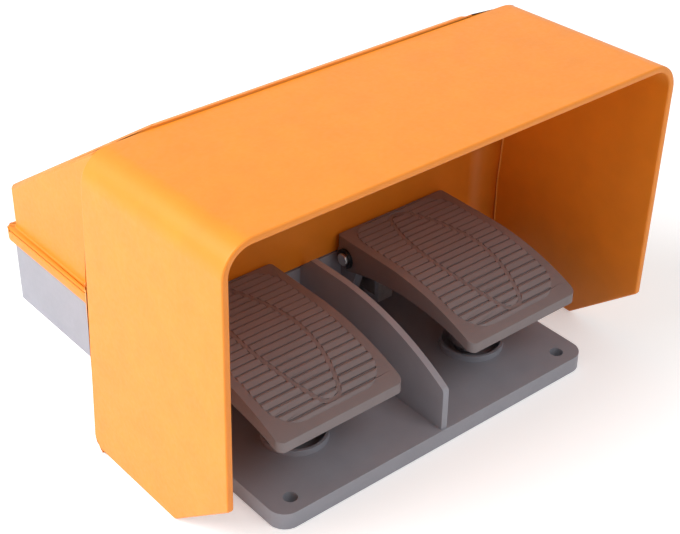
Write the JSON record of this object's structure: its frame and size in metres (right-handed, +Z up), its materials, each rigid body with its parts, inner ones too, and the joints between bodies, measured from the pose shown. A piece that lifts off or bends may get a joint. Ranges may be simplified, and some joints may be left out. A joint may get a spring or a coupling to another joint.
{
  "type": "twin-pedal industrial foot switch",
  "caption": "Industrial foot switch with side-by-side pedals under a one-piece guard hood, on a cast base with floor mounting holes.",
  "frame": {"origin": "midway between the two mounting holes at the front of the base, on the resting face", "axes": "+X to the right, +Y towards the cable gland at the rear, +Z up"},
  "size_m": [0.264, 0.274, 0.1685],
  "materials": {
    "orange_paint": "textured powder coat",
    "grey_paint": "textured powder coat",
    "pedal_metal": "satin stove enamel",
    "zinc": "zinc plated",
    "black_steel": "phosphated",
    "spring_steel": "drawn wire",
    "brass": "plain",
    "gasket_rubber": "matte",
    "gland_plastic": "moulded",
    "switch_plastic": "moulded",
    "plunger_plastic": "moulded"
  },
  "bodies": {
    "base": {"base_casting": "grey_paint", "hood_cover": "orange_paint", "cover_gasket": "gasket_rubber", "cover_screws": "zinc", "gland_body": "gland_plastic", "gland_seal": "gasket_rubber", "gland_dome_nut": "gland_plastic", "gland_locknut": "gland_plastic", "earth_screw": "brass", "earth_washer": "brass", "left_switch_body": "switch_plastic", "right_switch_body": "switch_plastic", "left_switch_terminals": "brass", "right_switch_terminals": "brass", "switch_screws": "zinc", "left_return_spring": "spring_steel", "right_return_spring": "spring_steel"},
    "left_pedal_arm": {"left_pedal": "pedal_metal", "left_pivot_pin": "zinc", "left_pin_clips": "black_steel", "left_actuator_arm": "zinc", "left_arm_screws": "zinc"},
    "left_plunger": {"left_switch_plunger": "plunger_plastic"},
    "right_pedal_arm": {"right_pedal": "pedal_metal", "right_pivot_pin": "zinc", "right_pin_clips": "black_steel", "right_actuator_arm": "zinc", "right_arm_screws": "zinc"},
    "right_plunger": {"right_switch_plunger": "plunger_plastic"}
  },
  "joints": [
    {"name": "left_pedal_hinge", "type": "hinge", "parent": "base", "child": "left_pedal_arm", "pos_m": [-0.0585, 0.0915, 0.0475], "axis": [1, 0, 0], "range_deg": [0, 5.5], "stiffness_Nm_per_rad": 5, "springref_deg": -9.74, "deforming": ["left_return_spring"]},
    {"name": "right_pedal_hinge", "type": "hinge", "parent": "base", "child": "right_pedal_arm", "pos_m": [0.0585, 0.0915, 0.0475], "axis": [1, 0, 0], "range_deg": [0, 5.5], "stiffness_Nm_per_rad": 5, "springref_deg": -9.74, "deforming": ["right_return_spring"]},
    {"name": "left_plunger_slide", "type": "slide", "parent": "base", "child": "left_plunger", "axis": [0, 1, 0], "range_m": [0, 0.0026]},
    {"name": "right_plunger_slide", "type": "slide", "parent": "base", "child": "right_plunger", "axis": [0, 1, 0], "range_m": [0, 0.0026]}
  ],
  "couplings": [
    {"joint": "left_plunger_slide", "follows": "left_pedal_hinge", "m_per_rad": 0.0265},
    {"joint": "right_plunger_slide", "follows": "right_pedal_hinge", "m_per_rad": 0.0265}
  ]
}
